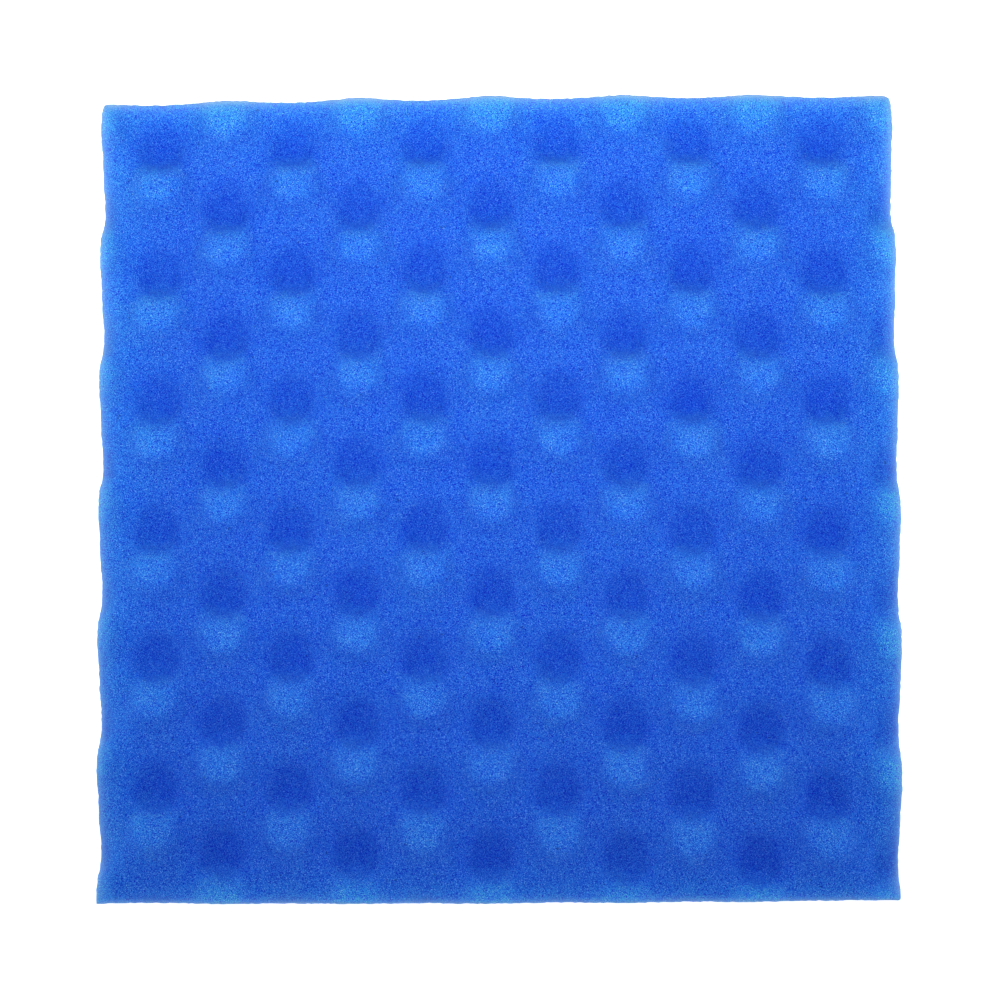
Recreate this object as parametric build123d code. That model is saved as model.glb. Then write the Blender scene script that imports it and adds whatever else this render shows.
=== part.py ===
from build123d import *
import math
import os

# Convoluted filter sponge: one sheet of open-cell foam, flat underneath, with a
# field of rounded knobs and pits on top. It lies flat, knobs up (+Z), with its
# length along Y. The origin is the middle of the flat underside.
# All sizes are in millimetres, angles in degrees.

# The cut sheet
SHEET_WIDTH = 299.5
SHEET_LENGTH = 303.5
SHEET_THICKNESS = 30.0

# The convoluted top. Knobs stand on a centred rectangular lattice: one in each
# corner of a pitch and one in its middle. Each knob has a pit close on its +Y
# side, so the wall between them is steep. A gentle swell, highest on the knob's
# -Y side, makes the slope from there down to the next pit long and easy.
PITCH_X = 50.3
PITCH_Y = 49.1
KNOB_HEIGHT = 6.5
PIT_DEPTH = 5.0
PIT_LEAD = 16.2
SWELL_HEIGHT = 2.0
SWELL_LAG = 8.6

# How the lattice falls on the sheet: one knob's place and the lattice's slight turn
KNOB_PLACE_X = -2.6
KNOB_PLACE_Y = -4.8
LATTICE_TURN = -0.4

# A knob or a pit grows with the lattice wave, which is 1 at its centre, 0 midway
# to its neighbours and -1 between them: half grown at this value, this sharply
WAVE_AT_HALF = 0.48
GROWTH_SHARPNESS = 2.8

# The top surface is drawn through this many points in each pitch both ways, and
# starts this far outside the left and right cuts, which then trim it
POINTS_PER_PITCH = 16
OVERRUN = 10.0

# Share of the swell's height that adds to the top of a knob
SWELL_ON_KNOB = 0.68

MIDDLE_LEVEL = SHEET_THICKNESS - KNOB_HEIGHT - SWELL_ON_KNOB * SWELL_HEIGHT


def lattice_wave(along_x, along_y):
    """Wave that is 1 at every lattice point and -1 between them."""
    return math.cos(2 * math.pi * along_x / PITCH_X) * math.cos(2 * math.pi * along_y / PITCH_Y)


def growth(wave):
    """Smooth step from 0 to 1 as the lattice wave passes its half-grown value."""
    return (1 + math.tanh(GROWTH_SHARPNESS * (wave - WAVE_AT_HALF))) / 2


def bulge(along_x, along_y):
    """Share of a knob or pit, 0 to 1, at a place measured from one's centre."""
    return growth(lattice_wave(along_x, along_y)) / growth(1)


def top_height(x, y):
    """Height of the convoluted top above the underside."""
    turn = math.radians(LATTICE_TURN)
    lattice_x = x * math.cos(turn) + y * math.sin(turn) - KNOB_PLACE_X
    lattice_y = y * math.cos(turn) - x * math.sin(turn) - KNOB_PLACE_Y
    knob = KNOB_HEIGHT * bulge(lattice_x, lattice_y)
    pit = PIT_DEPTH * bulge(lattice_x, lattice_y - PIT_LEAD)
    swell = SWELL_HEIGHT * lattice_wave(lattice_x, lattice_y + SWELL_LAG)
    return MIDDLE_LEVEL + knob - pit + swell


def evenly_spaced(size, pitch):
    """Places across a centred span of this size, at a fraction of the pitch."""
    count = math.ceil(size / pitch * POINTS_PER_PITCH)
    return [size * (i / count - 0.5) for i in range(count + 1)]


def convoluted_top():
    """The convoluted top, one smooth surface that ends on the four cut sides."""
    columns = evenly_spaced(SHEET_WIDTH + 2 * OVERRUN, PITCH_X)
    rows = evenly_spaced(SHEET_LENGTH, PITCH_Y)
    shares = [row / SHEET_LENGTH + 0.5 for row in rows]
    profiles = []
    for x in columns:
        points = [Vector(x, y, top_height(x, y)) for y in rows]
        profiles.append(Wire([Edge.make_spline(points, parameters=shares)]))
    wide_top = Shell.make_loft(profiles).face()
    between_cuts = Box(SHEET_WIDTH, 2 * SHEET_LENGTH, 4 * SHEET_THICKNESS)
    return wide_top.intersect(between_cuts)[0]


def cut_side(top_edge):
    """A flat upright side from one edge of the top down to the underside."""
    start = top_edge.position_at(0)
    end = top_edge.position_at(1)
    foot_start = Vector(start.X, start.Y, 0)
    foot_end = Vector(end.X, end.Y, 0)
    outline = Wire(
        [
            top_edge,
            Edge.make_line(end, foot_end),
            Edge.make_line(foot_end, foot_start),
            Edge.make_line(foot_start, start),
        ]
    )
    return Face(outline)


def underside():
    """The flat face that the sheet rests on."""
    half_width = SHEET_WIDTH / 2
    half_length = SHEET_LENGTH / 2
    corners = [
        (-half_width, -half_length, 0),
        (half_width, -half_length, 0),
        (half_width, half_length, 0),
        (-half_width, half_length, 0),
    ]
    return Face(Wire.make_polygon(corners, close=True))


def foam_sheet():
    """The whole sponge, one closed solid."""
    top = convoluted_top()
    sides = [cut_side(edge) for edge in top.edges()]
    sheet = Solid(Shell([top, underside()] + sides))
    sheet.label = "foam_sheet"
    return sheet


os.makedirs("parts", exist_ok=True)
export_step(foam_sheet(), "parts/foam_sheet.step")
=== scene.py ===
import bpy
import math
import numpy as np
from mathutils import Matrix, Vector, noise


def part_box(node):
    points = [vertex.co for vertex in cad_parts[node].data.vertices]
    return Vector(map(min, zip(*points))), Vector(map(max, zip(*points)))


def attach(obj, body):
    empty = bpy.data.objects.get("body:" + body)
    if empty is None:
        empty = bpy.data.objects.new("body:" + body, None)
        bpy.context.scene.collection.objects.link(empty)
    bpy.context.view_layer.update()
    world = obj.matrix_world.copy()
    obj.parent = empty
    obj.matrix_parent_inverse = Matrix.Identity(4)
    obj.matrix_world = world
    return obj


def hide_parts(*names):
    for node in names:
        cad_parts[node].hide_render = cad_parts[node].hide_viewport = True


# Convoluted filter sponge: a sheet of blue open-cell foam lying flat, knobs up.
# Metres throughout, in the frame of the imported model: X across the sheet, Y along
# it towards the back, Z up.

MM = 0.001

# The convoluted top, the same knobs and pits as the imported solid
PITCH_X = 50.3 * MM
PITCH_Y = 49.1 * MM
KNOB_HEIGHT = 6.5 * MM
PIT_DEPTH = 5.0 * MM
PIT_LEAD = 16.2 * MM
SWELL_HEIGHT = 2.0 * MM
SWELL_LAG = 8.6 * MM
SWELL_ON_KNOB = 0.68
KNOB_PLACE_X = -2.6 * MM
KNOB_PLACE_Y = -4.8 * MM
LATTICE_TURN = math.radians(-0.4)
WAVE_AT_HALF = 0.48
GROWTH_SHARPNESS = 2.8

# How far the rows of knobs and the single knobs are out of true, how much knobs and
# pits differ in height, and how rough the surface is
ROW_SHIFT = 0.5 * MM
ROW_ARCH = 1.3 * MM
ROW_FAN = 1.4 * MM
ROW_SHEAR = -0.6 * MM
KNOB_WANDER = 0.35 * MM
KNOB_UNEVENNESS = 0.06
SURFACE_ROUGHNESS = 0.10 * MM
SEED = 7

# Where each kind of unevenness is sliced from the same noise
WANDER_X_SLICE = 1.5
WANDER_Y_SLICE = 2.5
UNEVENNESS_SLICE = 3.5

# The distance between vertices on the top and down the sides
TOP_SPACING = 1.3 * MM
SIDE_SPACING = 1.9 * MM

# The rim rounds over into the cuts by this share of a full quarter round, and the
# sheet's corners are rounded in plan, the back right one the most
RIM_RADIUS = 0.9 * MM
RIM_ROUNDNESS = 0.75
CORNER_RADIUS = 0.5 * MM
BACK_RIGHT_RADIUS = 2.0 * MM

# The four cuts bow outward and are a little out of square. The back cut also waves
# with the knobs; the larger the fade, the less far in the wave reaches
LEFT_BOW = 0.3 * MM
RIGHT_BOW = 1.7 * MM
FRONT_BOW = 0.6 * MM
BACK_BOW = 1.1 * MM
CUT_SKEW = 0.5 * MM
CUT_FAN = 0.3 * MM
BACK_WAVE = 0.7 * MM
BACK_WAVE_FADE = 12

# Unevenness of the cut faces: slow wander in patches of this width and height,
# raggedness that runs from rim to underside, and fine roughness
CUT_WANDER = 0.35 * MM
WANDER_WIDTH = 21 * MM
WANDER_HEIGHT = 12 * MM
CUT_RAGGEDNESS = 0.16 * MM
CUT_ROUGHNESS = 0.05 * MM

# A rim vertex lies on a cut if it is this share of the way out from the middle
ON_A_CUT = 0.985

# Where light is painted onto the foam, on a knob and its steep side, and where shade
# is painted in, in a pit: how far behind the knob's centre each patch lies, and its
# half sizes. The painted pit shade fades towards the back by this share
KNOB_LIGHT_LEAD = 2.4 * MM
KNOB_LIGHT_HALF_X = 8.2 * MM
KNOB_LIGHT_HALF_Y = 9.2 * MM
PIT_SHADE_LEAD = 16.1 * MM
PIT_SHADE_HALF_X = 8.1 * MM
PIT_SHADE_HALF_Y = 9.2 * MM
PIT_SHADE_FADE = 0.35
PATCH_SQUARENESS = 1.2
PATCH_SHARPNESS = 5.0

# Sizes of the foam's pores, grain and blotches, and of its painted highlights (glints)
PORE_SIZE = 0.44 * MM
GRAIN_SIZE = 0.34 * MM
PAINTED_GLINT_SIZE = 0.34 * MM
SPECK_SIZE = 1.7 * MM
MOTTLE_SIZE = 24 * MM

# Tone from pore to strut: each pore's own tone, distance from its middle, and grain
PORE_TONE = 0.5
STRUT_GAIN = 0.9
STRUT_OFFSET = -0.2
GRIT_GAIN = 7.0
GRIT_OFFSET = -3.25
GRIT_SHARE = 0.6

# Noise levels where dark specks end and painted glints begin, and their strengths
SPECK_FULL = 0.21
SPECK_NONE = 0.26
SPECK_STRENGTH = 0.7
PAINTED_GLINT_NONE = 0.65
PAINTED_GLINT_FULL = 0.80
PAINTED_GLINT_STRENGTH = 0.8
MOTTLE_GAIN = 0.24
MOTTLE_OFFSET = 0.88
MOTTLE_DETAIL = 3.0

# Colours of the foam, linear: its own pores, struts and specks, a painted highlight
# for glints, painted light at the cut edges, and tints that multiply in painted light
# on the knobs and near the cuts and painted shade in the pits
PORE_COLOUR = (0.0003, 0.012, 0.66, 1)
STRUT_COLOUR = (0.025, 0.212, 0.87, 1)
PAINTED_GLINT_COLOUR = (0.22, 0.48, 0.95, 1)
SPECK_COLOUR = (0.001, 0.020, 0.40, 1)
CUT_EDGE_PAINTED_LIGHT = (0.26, 0.47, 0.86, 1)
KNOB_PAINTED_LIGHT = (1.55, 1.46, 1.14, 1)
PIT_PAINTED_SHADE = (0.57, 0.69, 0.87, 1)
RIM_PAINTED_LIGHT = (1.3, 1.8, 1.2, 1)

# How far in from the cuts the painted light reaches, light as if shining through the
# foam near its cuts: a wide tint and a narrow edge, both narrower at the front by the
# factor given. It's full on faces that look up at least this much, and gone on
# upright ones
RIM_LIGHT_REACH = 8 * MM
EDGE_LIGHT_REACH = 1.7 * MM
EDGE_LIGHT_STRENGTH = 0.85
FRONT_NARROWING = 1.7
FULLY_UPWARD = 0.5

# The foam's surface and how light soaks into it
RELIEF_SHARE = 0.6
BUMP_STRENGTH = 0.25
BUMP_DEPTH = 0.3 * MM
ROUGHNESS = 0.82
ROUGHNESS_GAIN = 0.15
SHININESS = 0.15
SOAK_DEPTH = 2.0 * MM

# The white studio table
TABLE_REACH = 6.0
TABLE_TONE = 0.93
TABLE_CLOUD = 0.01
TABLE_CLOUD_SCALE = 2.0
TABLE_ROUGHNESS = 0.9
TABLE_GLOW = 0.75

# The lights: a warm softbox overhead with a narrowed beam, aimed behind the sheet's
# middle, a softbox on each side, and bluish surroundings. Powers in watts
OVERHEAD_PLACE = (0.0, -0.03, 1.10)
OVERHEAD_AIM = Vector((0, 0.26, 0))
OVERHEAD_SIZE = 0.4
OVERHEAD_POWER = 1.20
OVERHEAD_SPREAD = math.radians(54)
OVERHEAD_COLOUR = (1, 1, 0.78)
LEFT_PLACE = (-0.80, 0.10, 0.60)
RIGHT_PLACE = (0.80, 0.10, 0.60)
SIDE_SIZE = 0.5
SIDE_POWER = 1.4
OPEN_SPREAD = math.radians(180)
WHITE = (1, 1, 1)
SURROUNDINGS_COLOUR = (1, 1, 1.14, 1)
SURROUNDINGS_STRENGTH = 0.29
BACKDROP_COLOUR = (1, 1, 1, 1)

# The camera looks down from nearly overhead, a little from the front and the right.
# The sensor's width is in millimetres
CAMERA_DISTANCE = 1.30
CAMERA_LEAN_X = 0.015
CAMERA_LEAN_Y = -0.088
CAMERA_ROLL = math.radians(0.19)
SENSOR_WIDTH_MM = 36.0
PICTURE_WIDTH = 0.3752
LOOK_ASIDE = Vector((1.2 * MM, -1.8 * MM, 0))


def phase(distance, pitch):
    """Angle in the lattice wave after this distance, a full turn for each pitch."""
    return 2 * math.pi * distance / pitch


def lattice_wave(along_x, along_y):
    """Wave that is 1 at every lattice point and -1 between them."""
    return np.cos(phase(along_x, PITCH_X)) * np.cos(phase(along_y, PITCH_Y))


def growth(wave):
    """Smooth step from 0 to 1 as the lattice wave passes its half-grown value."""
    return (1 + np.tanh(GROWTH_SHARPNESS * (wave - WAVE_AT_HALF))) / 2


def bulge(along_x, along_y):
    """Share of a knob or pit, 0 to 1, at places measured from one's centre."""
    return growth(lattice_wave(along_x, along_y)) / growth(1)


def patch(along_x, along_y, half_x, half_y, fade=0.0):
    """Share of a rounded patch at places measured from one's centre, fading towards +Y."""
    phase_x = phase(along_x, PITCH_X)
    phase_y = phase(along_y, PITCH_Y)
    edge_x = 1 - math.cos(phase(half_x, PITCH_X))
    edge_y = 1 - math.cos(phase(half_y, PITCH_Y))
    shares = 0
    # 1: patches at the corners of the pitches, -1: patches at their middles
    for sign in (1, -1):
        apart_x = (1 - sign * np.cos(phase_x)) / edge_x
        apart_y = (1 - sign * np.cos(phase_y)) / edge_y
        apart = apart_x ** PATCH_SQUARENESS + apart_y ** PATCH_SQUARENESS
        reach = apart ** (0.5 / PATCH_SQUARENESS)
        faded = 1 - fade * sign * np.sin(phase_y) / math.sin(phase(half_y, PITCH_Y))
        shares = shares + faded * (1 + np.tanh(PATCH_SHARPNESS * (1 - reach))) / 2
    return shares


def smooth_noise(x, y, size, noise_slice):
    """Soft unevenness from -1 to 1 over the plan, with bumps of about this size."""
    flat_x = np.ravel(x) / size
    flat_y = np.ravel(y) / size
    values = [noise.noise(Vector((a, b, noise_slice))) for a, b in zip(flat_x, flat_y)]
    return np.array(values).reshape(np.shape(x))


def lattice_place(x, y, u, v):
    """Each point's place measured from one knob, the rows being a little out of true.

    u and v run from -1 to 1 between the cuts.
    """
    wander_x = KNOB_WANDER * smooth_noise(x, y, PITCH_X, WANDER_X_SLICE)
    wander_y = KNOB_WANDER * smooth_noise(x, y, PITCH_X, WANDER_Y_SLICE)
    stray_x = wander_x + ROW_SHEAR * v
    stray_y = wander_y + ROW_SHIFT + ROW_ARCH * (1 - u * u) + ROW_FAN * u * v + ROW_SHEAR * u
    turned_x = x * math.cos(LATTICE_TURN) + y * math.sin(LATTICE_TURN)
    turned_y = y * math.cos(LATTICE_TURN) - x * math.sin(LATTICE_TURN)
    return turned_x - KNOB_PLACE_X - stray_x, turned_y - KNOB_PLACE_Y - stray_y


def top_height(x, y, lattice_x, lattice_y, thickness):
    """Height of the convoluted top, each knob and pit a little different."""
    uneven = 1 + KNOB_UNEVENNESS * smooth_noise(x, y, PITCH_Y, UNEVENNESS_SLICE)
    knob = KNOB_HEIGHT * bulge(lattice_x, lattice_y)
    pit = PIT_DEPTH * bulge(lattice_x, lattice_y - PIT_LEAD)
    swell = SWELL_HEIGHT * lattice_wave(lattice_x, lattice_y + SWELL_LAG)
    middle_level = thickness - KNOB_HEIGHT - SWELL_ON_KNOB * SWELL_HEIGHT
    return middle_level + (knob - pit) * uneven + swell


def rim_drop(x, y, half_width, half_length):
    """How far the top falls where it rounds over into the cuts."""
    inset = np.minimum(half_width - np.abs(x), half_length - np.abs(y))
    fall = np.clip(1 - inset / RIM_RADIUS, 0, 1)
    return RIM_RADIUS * (1 - np.sqrt(1 - RIM_ROUNDNESS * fall * fall))


def rounded_plan(x, y, half_width, half_length):
    """Pulls plan points near a corner in to a small radius."""
    radius = np.where((x > 0) & (y > 0), BACK_RIGHT_RADIUS, CORNER_RADIUS)
    corner_x = np.maximum(np.abs(x) - (half_width - radius), 0)
    corner_y = np.maximum(np.abs(y) - (half_length - radius), 0)
    reach = np.maximum(corner_x, corner_y)
    length = np.hypot(corner_x, corner_y)
    in_corner = length > 0
    keep = np.where(in_corner, reach / np.where(in_corner, length, 1), 1)
    new_x = np.sign(x) * (np.abs(x) - corner_x + corner_x * keep)
    new_y = np.sign(y) * (np.abs(y) - corner_y + corner_y * keep)
    return new_x, new_y


def bowed_plan(x, y, half_width, half_length):
    """Bows the four cuts outward a little and leaves them slightly out of square."""
    u = x / half_width
    v = y / half_length
    bow_x = ((1 + u) * RIGHT_BOW - (1 - u) * LEFT_BOW) / 2 * (1 - v * v)
    bow_y = ((1 + v) * BACK_BOW - (1 - v) * FRONT_BOW) / 2 * (1 - u * u)
    return x + bow_x, y + bow_y + CUT_SKEW * u + CUT_FAN * u * v


def cut_plan(x, y, lattice_x, half_width, half_length):
    """Plan places as cut: rounded corners, bowed cuts and a wavy back."""
    x, y = rounded_plan(x, y, half_width, half_length)
    back_share = np.clip(y / half_length, 0, 1) ** BACK_WAVE_FADE
    x, y = bowed_plan(x, y, half_width, half_length)
    return x, y + BACK_WAVE * back_share * np.cos(phase(lattice_x, PITCH_X))


def rim_ring(columns, rows):
    """Numbers of the rim's vertices, counter-clockwise from the front left corner."""
    front = [(i, 0) for i in range(columns - 1)]
    right = [(columns - 1, j) for j in range(rows - 1)]
    back = [(i, rows - 1) for i in range(columns - 1, 0, -1)]
    left = [(0, j) for j in range(rows - 1, 0, -1)]
    return [i * rows + j for i, j in front + right + back + left]


def outward_from(rim, half_width, half_length):
    """Which way is outward at each rim vertex, along X, along Y or both at a corner."""
    share = np.stack([rim[:, 0] / half_width, rim[:, 1] / half_length], axis=-1)
    return np.sign(share) * (np.abs(share) > ON_A_CUT)


def side_layer(rim, outward, share, random):
    """A ring of vertices on the cut sides, this share of the way down from the rim."""
    layer = rim.copy()
    layer[:, 2] = rim[:, 2] * (1 - share)
    wander = np.array([
        noise.noise(Vector((x / WANDER_WIDTH, y / WANDER_WIDTH, z / WANDER_HEIGHT)))
        for x, y, z in layer
    ])
    fine = random.uniform(-1, 1, len(layer))
    amount = CUT_WANDER * wander + CUT_ROUGHNESS * fine
    layer[:, :2] += outward * amount[:, None]
    return layer


def cut_sides(vertices, ring, half_width, half_length, levels, random):
    """Makes the rim ragged, and gives rings of vertices from there to the underside."""
    rim = vertices[ring]
    outward = outward_from(rim, half_width, half_length)
    rim[:, :2] += outward * CUT_RAGGEDNESS * random.uniform(-1, 1, (len(rim), 1))
    vertices[ring] = rim
    return [side_layer(rim, outward, level / levels, random) for level in range(1, levels + 1)]


def foam_faces(columns, rows, ring, levels):
    """Quads over the top and down the cut sides, and one flat face underneath."""
    faces = []
    for i in range(columns - 1):
        for j in range(rows - 1):
            a = i * rows + j
            faces.append((a, a + rows, a + rows + 1, a + 1))
    above = ring
    for level in range(levels):
        first = columns * rows + level * len(ring)
        below = list(range(first, first + len(ring)))
        for k in range(len(ring)):
            after = (k + 1) % len(ring)
            faces.append((above[k], below[k], below[after], above[after]))
        above = below
    faces.append(tuple(reversed(above)))
    return faces


def mark_top(mesh, name, shares):
    """Stores a share for each vertex of the top; all the others get 0."""
    values = np.zeros(len(mesh.vertices), dtype=np.float32)
    values[:shares.size] = shares.ravel()
    mesh.attributes.new(name, "FLOAT", "POINT").data.foreach_set("value", values)


def make_foam(low, high):
    """The foam piece: convoluted top, four cut sides and a flat underside, one closed mesh."""
    half_width = (high.x - low.x) / 2
    half_length = (high.y - low.y) / 2
    thickness = high.z - low.z
    columns = round(2 * half_width / TOP_SPACING) + 1
    rows = round(2 * half_length / TOP_SPACING) + 1
    x, y = np.meshgrid(
        np.linspace(-half_width, half_width, columns),
        np.linspace(-half_length, half_length, rows),
        indexing="ij",
    )
    lattice_x, lattice_y = lattice_place(x, y, x / half_width, y / half_length)
    random = np.random.default_rng(SEED)
    z = top_height(x, y, lattice_x, lattice_y, thickness)
    z += SURFACE_ROUGHNESS * random.uniform(-1, 1, z.shape)
    z -= rim_drop(x, y, half_width, half_length)
    x, y = cut_plan(x, y, lattice_x, half_width, half_length)
    vertices = np.stack([x, y, z], axis=-1).reshape(-1, 3)

    ring = rim_ring(columns, rows)
    levels = round(thickness / SIDE_SPACING)
    sides = cut_sides(vertices, ring, half_width, half_length, levels, random)
    faces = foam_faces(columns, rows, ring, levels)

    mesh = bpy.data.meshes.new("foam_pad")
    mesh.from_pydata(np.concatenate([vertices] + sides).tolist(), [], faces)
    mesh.validate()
    mesh.shade_smooth()
    # Painted light on the knobs and painted shade in the pits, stored as shares on the top
    mark_top(mesh, "painted_knob_light", patch(lattice_x, lattice_y - KNOB_LIGHT_LEAD, KNOB_LIGHT_HALF_X, KNOB_LIGHT_HALF_Y))
    painted_pit_shade = patch(lattice_x, lattice_y - PIT_SHADE_LEAD, PIT_SHADE_HALF_X, PIT_SHADE_HALF_Y, PIT_SHADE_FADE)
    mark_top(mesh, "painted_pit_shade", painted_pit_shade)
    mesh.transform(Matrix.Translation(((low.x + high.x) / 2, (low.y + high.y) / 2, low.z)))
    pad = bpy.data.objects.new("foam_pad", mesh)
    bpy.context.scene.collection.objects.link(pad)
    return pad


class Nodes:
    """Adds and links the nodes of one material."""

    def __init__(self, material):
        material.use_nodes = True
        self.tree = material.node_tree
        self.tree.nodes.clear()

    def feed(self, socket, value):
        """Gives an input a value, or links another node's output to it."""
        if isinstance(value, bpy.types.NodeSocket):
            self.tree.links.new(value, socket)
        else:
            socket.default_value = value

    def add(self, kind, inputs=None, **settings):
        """A node with these settings and named inputs."""
        node = self.tree.nodes.new(kind)
        for name, value in settings.items():
            setattr(node, name, value)
        for name, value in (inputs or {}).items():
            self.feed(node.inputs[name], value)
        return node

    def maths(self, operation, *values):
        """The result of one step of arithmetic."""
        node = self.add("ShaderNodeMath", operation=operation)
        for socket, value in zip(node.inputs, values):
            self.feed(socket, value)
        return node.outputs[0]

    def mix(self, factor, a, b, blend="MIX"):
        """Colour a blended with colour b as far as the factor says."""
        node = self.add("ShaderNodeMix", data_type="RGBA", blend_type=blend)
        # Inputs 6 and 7 are the mix node's two colours
        for index, value in ((0, factor), (6, a), (7, b)):
            self.feed(node.inputs[index], value)
        return node.outputs[2]

    def noise(self, place, scale, detail):
        """Soft noise, about 0 to 1."""
        inputs = {"Vector": place, "Scale": scale, "Detail": detail}
        return self.add("ShaderNodeTexNoise", inputs).outputs["Fac"]

    def ramp(self, value, start, end, at_start, at_end, **settings):
        """Takes a value between start and end to one between these two results."""
        inputs = {"Value": value, "From Min": start, "From Max": end,
                  "To Min": at_start, "To Max": at_end}
        return self.add("ShaderNodeMapRange", inputs, **settings).outputs[0]

    def finish(self, shader):
        """Makes this shader the surface of the material."""
        self.add("ShaderNodeOutputMaterial", {"Surface": shader.outputs[0]})


def distance_from_cuts(nodes, x, y, half_width, half_length):
    """How far in from the nearest cut a point is, following the bows of the cuts."""
    u = nodes.maths("DIVIDE", x, half_width)
    v = nodes.maths("DIVIDE", y, half_length)
    across = nodes.maths("SUBTRACT", 1.0, nodes.maths("MULTIPLY", u, u))
    along = nodes.maths("SUBTRACT", 1.0, nodes.maths("MULTIPLY", v, v))
    fan = nodes.maths("MULTIPLY_ADD", v, CUT_FAN, CUT_SKEW)
    square_y = nodes.maths("SUBTRACT", y, nodes.maths("MULTIPLY", u, fan))
    right_cut = nodes.maths("MULTIPLY_ADD", along, RIGHT_BOW, half_width)
    left_cut = nodes.maths("MULTIPLY_ADD", along, LEFT_BOW, half_width)
    back_cut = nodes.maths("MULTIPLY_ADD", across, BACK_BOW, half_length)
    front_cut = nodes.maths("MULTIPLY_ADD", across, FRONT_BOW, half_length)
    right = nodes.maths("SUBTRACT", right_cut, x)
    left = nodes.maths("ADD", left_cut, x)
    back = nodes.maths("SUBTRACT", back_cut, square_y)
    front = nodes.maths("MULTIPLY", nodes.maths("ADD", front_cut, square_y), FRONT_NARROWING)
    side = nodes.maths("MINIMUM", right, left)
    nearest = nodes.maths("MINIMUM", side, nodes.maths("MINIMUM", back, front))
    return nodes.maths("MAXIMUM", nearest, 0.0)


def grained_colour(nodes, place, pores, grain):
    """The foam's own colour: pores and struts, dark specks, mottling, and painted highlights
    as glints.
    """
    own = nodes.add("ShaderNodeSeparateColor", {"Color": pores.outputs["Color"]})
    strut = nodes.maths("MULTIPLY_ADD", pores.outputs["Distance"], STRUT_GAIN, STRUT_OFFSET)
    strut = nodes.maths("MULTIPLY_ADD", own.outputs["Red"], PORE_TONE, strut)
    grit = nodes.maths("MULTIPLY_ADD", grain, GRIT_GAIN, GRIT_OFFSET)
    tone = nodes.maths("ADD", strut, nodes.maths("MULTIPLY", grit, GRIT_SHARE))
    tone = nodes.add("ShaderNodeClamp", {"Value": tone}).outputs[0]
    colour = nodes.mix(tone, PORE_COLOUR, STRUT_COLOUR)

    specks = nodes.noise(place, 1 / SPECK_SIZE, 1.0)
    speck = nodes.ramp(specks, SPECK_FULL, SPECK_NONE, SPECK_STRENGTH, 0.0)
    colour = nodes.mix(speck, colour, SPECK_COLOUR)
    # Painted highlights: light glints where the struts would catch the light
    painted_glint_noise = nodes.noise(place, 1 / PAINTED_GLINT_SIZE, 0.0)
    painted_glint = nodes.ramp(painted_glint_noise, PAINTED_GLINT_NONE, PAINTED_GLINT_FULL, 0.0, PAINTED_GLINT_STRENGTH)
    colour = nodes.mix(painted_glint, colour, PAINTED_GLINT_COLOUR)
    mottle = nodes.noise(place, 1 / MOTTLE_SIZE, MOTTLE_DETAIL)
    drift = nodes.maths("MULTIPLY_ADD", mottle, MOTTLE_GAIN, MOTTLE_OFFSET)
    tint = nodes.add("ShaderNodeCombineColor", {"Red": drift, "Green": drift, "Blue": 1.0})
    return nodes.mix(1.0, colour, tint.outputs[0], "MULTIPLY")


def shaded_colour(nodes, place, colour, half_width, half_length):
    """The colour with painted light on the knobs, painted shade in the pits, and painted light
    at the rim.
    """
    # Multiplies in painted light on the knobs and painted shade in the pits
    for name, painted_tint in (("painted_knob_light", KNOB_PAINTED_LIGHT), ("painted_pit_shade", PIT_PAINTED_SHADE)):
        share = nodes.add("ShaderNodeAttribute", attribute_name=name).outputs["Fac"]
        colour = nodes.mix(share, colour, painted_tint, "MULTIPLY")

    # Painted light near the cuts, as of light showing through the foam: a wide tint and a
    # narrow edge on upward faces
    apart = nodes.add("ShaderNodeSeparateXYZ", {"Vector": place}).outputs
    inset = distance_from_cuts(nodes, apart["X"], apart["Y"], half_width, half_length)
    normal = nodes.add("ShaderNodeNewGeometry").outputs["Normal"]
    facing = nodes.add("ShaderNodeSeparateXYZ", {"Vector": normal}).outputs["Z"]
    upward = nodes.ramp(facing, 0.0, FULLY_UPWARD, 0.0, 1.0, interpolation_type="SMOOTHSTEP")
    wide_rim_light = nodes.maths("EXPONENT", nodes.maths("DIVIDE", inset, -RIM_LIGHT_REACH))
    colour = nodes.mix(nodes.maths("MULTIPLY", upward, wide_rim_light), colour, RIM_PAINTED_LIGHT, "MULTIPLY")
    narrow_edge_light = nodes.maths("EXPONENT", nodes.maths("DIVIDE", inset, -EDGE_LIGHT_REACH))
    edge_light = nodes.maths("MULTIPLY", nodes.maths("MULTIPLY", upward, narrow_edge_light), EDGE_LIGHT_STRENGTH)
    return nodes.mix(edge_light, colour, CUT_EDGE_PAINTED_LIGHT)


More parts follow.
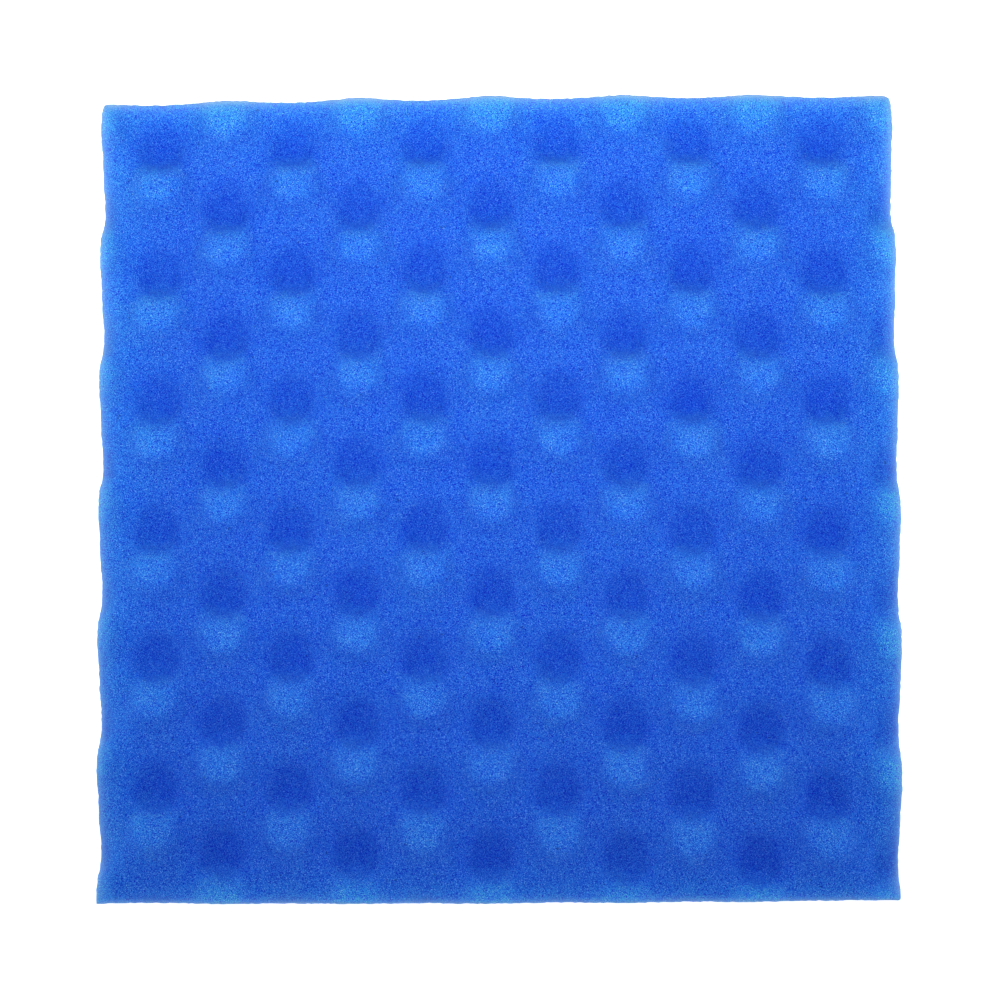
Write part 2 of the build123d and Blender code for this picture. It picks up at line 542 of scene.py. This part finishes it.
def foam_material(half_width, half_length):
    """Blue open-cell foam, soft to light, with its pores as fine relief."""
    material = bpy.data.materials.new("blue_foam")
    nodes = Nodes(material)
    place = nodes.add("ShaderNodeTexCoord").outputs["Object"]
    pores = nodes.add("ShaderNodeTexVoronoi", {"Vector": place, "Scale": 1 / PORE_SIZE})
    grain = nodes.noise(place, 1 / GRAIN_SIZE, 1.0)
    colour = grained_colour(nodes, place, pores, grain)
    colour = shaded_colour(nodes, place, colour, half_width, half_length)

    pore_relief = nodes.maths("MULTIPLY", pores.outputs["Distance"], RELIEF_SHARE)
    relief = nodes.maths("ADD", pore_relief, nodes.maths("MULTIPLY", grain, RELIEF_SHARE))
    bump_inputs = {"Height": relief, "Strength": BUMP_STRENGTH, "Distance": BUMP_DEPTH}
    nodes.finish(nodes.add("ShaderNodeBsdfPrincipled", {
        "Base Color": colour,
        "Roughness": nodes.maths("MULTIPLY_ADD", grain, ROUGHNESS_GAIN, ROUGHNESS),
        "Normal": nodes.add("ShaderNodeBump", bump_inputs).outputs[0],
        "Specular IOR Level": SHININESS,
        "Subsurface Weight": 1.0,
        "Subsurface Radius": (1.0, 1.0, 1.0),
        "Subsurface Scale": SOAK_DEPTH,
    }))
    return material


def table_material():
    """Plain white studio table."""
    material = bpy.data.materials.new("white_table")
    nodes = Nodes(material)
    place = nodes.add("ShaderNodeTexCoord").outputs["Object"]
    cloud = nodes.noise(place, TABLE_CLOUD_SCALE, 2.0)
    tone = nodes.maths("MULTIPLY_ADD", cloud, TABLE_CLOUD, TABLE_TONE)
    grey = nodes.add("ShaderNodeCombineColor", {"Red": tone, "Green": tone, "Blue": tone})
    nodes.finish(nodes.add("ShaderNodeBsdfPrincipled", {
        "Base Color": grey.outputs[0],
        "Roughness": TABLE_ROUGHNESS,
        "Emission Color": (1, 1, 1, 1),
        "Emission Strength": TABLE_GLOW,
    }))
    return material


def make_floor(level):
    """A wide plain floor under the sheet."""
    mesh = bpy.data.meshes.new("studio_floor")
    signs = ((-1, -1), (1, -1), (1, 1), (-1, 1))
    corners = [(TABLE_REACH * x, TABLE_REACH * y, level) for x, y in signs]
    mesh.from_pydata(corners, [], [(0, 1, 2, 3)])
    floor = bpy.data.objects.new("studio_floor", mesh)
    floor.data.materials.append(table_material())
    bpy.context.scene.collection.objects.link(floor)


def make_light(name, place, target, size, power, spread=OPEN_SPREAD, colour=WHITE):
    """A square softbox facing the target, its beam this wide."""
    data = bpy.data.lights.new(name, "AREA")
    data.shape = "SQUARE"
    data.size = size
    data.energy = power
    data.spread = spread
    data.color = colour
    light = bpy.data.objects.new(name, data)
    light.location = place
    bpy.context.scene.collection.objects.link(light)
    direction = target - light.location
    light.rotation_euler = direction.to_track_quat("-Z", "Y").to_euler()


def make_lights(centre):
    """The overhead softbox and one on each side."""
    make_light("overhead_softbox", OVERHEAD_PLACE, centre + OVERHEAD_AIM, OVERHEAD_SIZE,
               OVERHEAD_POWER, OVERHEAD_SPREAD, OVERHEAD_COLOUR)
    make_light("left_softbox", LEFT_PLACE, centre, SIDE_SIZE, SIDE_POWER)
    make_light("right_softbox", RIGHT_PLACE, centre, SIDE_SIZE, SIDE_POWER)


def make_camera(target):
    """Nearly overhead, far enough away to look almost square-on."""
    data = bpy.data.cameras.new("camera")
    data.sensor_width = SENSOR_WIDTH_MM
    data.lens = SENSOR_WIDTH_MM * CAMERA_DISTANCE / PICTURE_WIDTH
    camera = bpy.data.objects.new("camera", data)
    bpy.context.scene.collection.objects.link(camera)
    upright = math.sqrt(1 - CAMERA_LEAN_X ** 2 - CAMERA_LEAN_Y ** 2)
    back = Vector((CAMERA_LEAN_X, CAMERA_LEAN_Y, upright))
    place = target + back * CAMERA_DISTANCE
    up = Vector((math.sin(CAMERA_ROLL), math.cos(CAMERA_ROLL), 0))
    right = up.cross(back).normalized()
    up = back.cross(right)
    camera.matrix_world = Matrix((
        (right.x, up.x, back.x, place.x),
        (right.y, up.y, back.y, place.y),
        (right.z, up.z, back.z, place.z),
        (0, 0, 0, 1),
    ))
    bpy.context.scene.camera = camera


def make_world():
    """Soft surroundings that light the sheet, and a white backdrop behind it."""
    world = bpy.data.worlds.new("studio")
    world.use_nodes = True
    tree = world.node_tree
    light = tree.nodes["Background"]
    light.inputs["Color"].default_value = SURROUNDINGS_COLOUR
    light.inputs["Strength"].default_value = SURROUNDINGS_STRENGTH
    backdrop = tree.nodes.new("ShaderNodeBackground")
    backdrop.inputs["Color"].default_value = BACKDROP_COLOUR
    seen = tree.nodes.new("ShaderNodeLightPath").outputs["Is Camera Ray"]
    mix = tree.nodes.new("ShaderNodeMixShader")
    tree.links.new(seen, mix.inputs[0])
    tree.links.new(light.outputs[0], mix.inputs[1])
    tree.links.new(backdrop.outputs[0], mix.inputs[2])
    tree.links.new(mix.outputs[0], tree.nodes["World Output"].inputs["Surface"])
    bpy.context.scene.world = world


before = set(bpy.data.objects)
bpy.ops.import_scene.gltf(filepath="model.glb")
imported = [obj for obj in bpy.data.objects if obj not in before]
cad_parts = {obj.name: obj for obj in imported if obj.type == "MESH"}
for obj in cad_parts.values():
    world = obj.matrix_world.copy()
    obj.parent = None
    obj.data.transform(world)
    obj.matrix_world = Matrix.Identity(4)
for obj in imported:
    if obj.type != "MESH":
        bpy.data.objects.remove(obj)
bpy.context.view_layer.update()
low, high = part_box("foam_sheet")

pad = make_foam(low, high)
pad.data.materials.append(foam_material((high.x - low.x) / 2, (high.y - low.y) / 2))
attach(pad, "root")
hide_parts("foam_sheet")

centre = Vector(((low.x + high.x) / 2, (low.y + high.y) / 2, high.z))
make_floor(low.z)
make_world()
make_lights(centre)
make_camera(centre + LOOK_ASIDE)
bpy.context.scene.view_settings.view_transform = "Standard"
